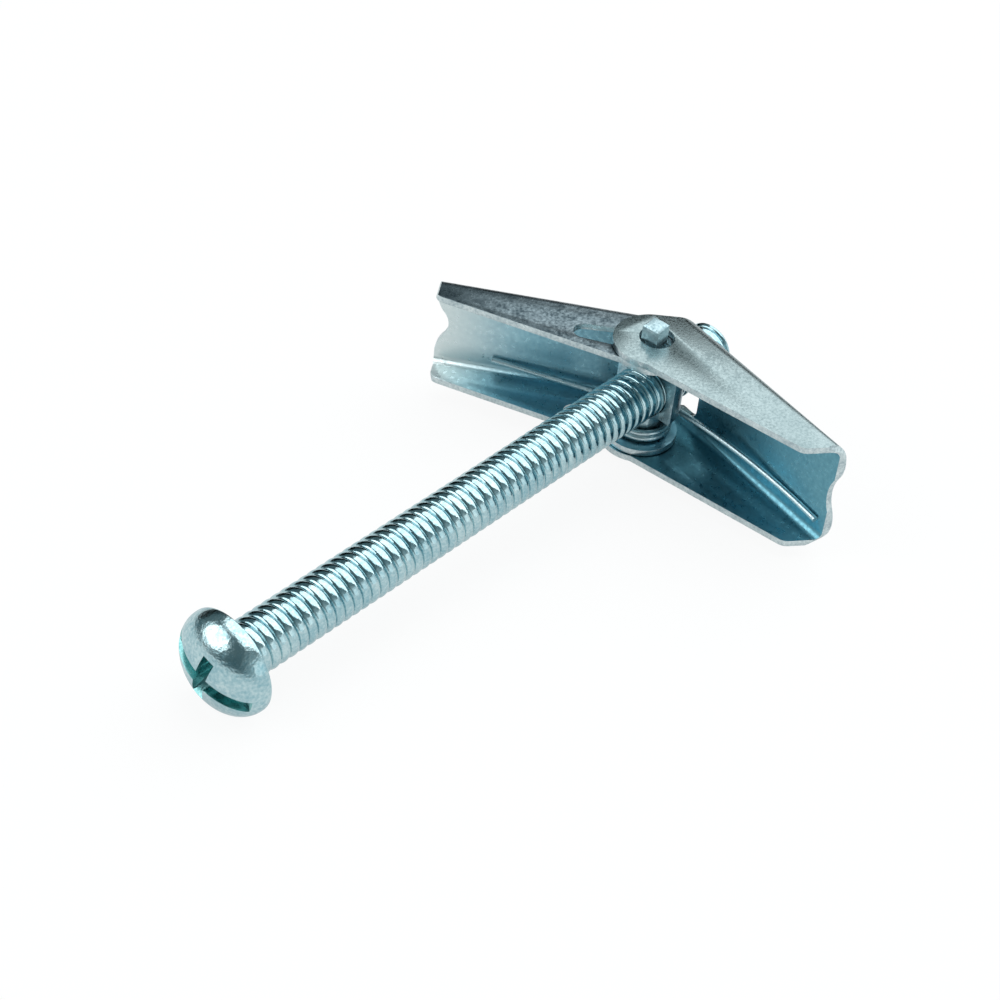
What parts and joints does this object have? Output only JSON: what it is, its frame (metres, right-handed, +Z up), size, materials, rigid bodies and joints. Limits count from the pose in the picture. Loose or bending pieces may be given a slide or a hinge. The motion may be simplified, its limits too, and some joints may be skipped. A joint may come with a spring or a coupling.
{
  "type": "spring toggle bolt",
  "caption": "Hollow-wall anchor: a slotted round-head machine screw in a trunnion nut with sprung folding wings of bent sheet steel.",
  "frame": {"origin": "centre of the part's box at the level of the floor it lies on", "axes": "+X along the bolt from its head to its tip, in plan; +Z up from the floor; +Y across, towards the inner wing"},
  "size_m": [0.0806, 0.0516, 0.0191],
  "materials": {
    "zinc_screw": "bright zinc plate with a pale blue passivate",
    "zinc_nut": "bright zinc plate with a pale blue passivate",
    "zinc_sheet": "zinc-plated sheet, faintly mottled",
    "spring_wire": "bright plated spring wire"
  },
  "bodies": {
    "bolt": {"bolt": "zinc_screw"},
    "trunnion": {"trunnion_nut": "zinc_nut", "torsion_spring": "spring_wire"},
    "outer_wing": {"outer_wing": "zinc_sheet"},
    "inner_wing": {"inner_wing": "zinc_sheet"}
  },
  "joints": [
    {"name": "bolt_feed", "type": "slide", "parent": "bolt", "child": "trunnion", "axis": [0.9985, -0.0003, 0.0547], "range_m": [-0.03556, 0.00762]},
    {"name": "outer_wing_hinge", "type": "hinge", "parent": "trunnion", "child": "outer_wing", "pos_m": [0.02801, 0.00079, 0.00953], "axis": [-0.0548, -0.0048, 0.9985], "range_deg": [-80, 0], "stiffness_Nm_per_rad": 0.06, "springref_deg": 6.88, "deforming": ["torsion_spring"]},
    {"name": "inner_wing_hinge", "type": "hinge", "parent": "trunnion", "child": "inner_wing", "pos_m": [0.02801, 0.00079, 0.00953], "axis": [-0.0548, -0.0048, 0.9985], "range_deg": [0, 58], "stiffness_Nm_per_rad": 0.06, "springref_deg": -6.88}
  ]
}
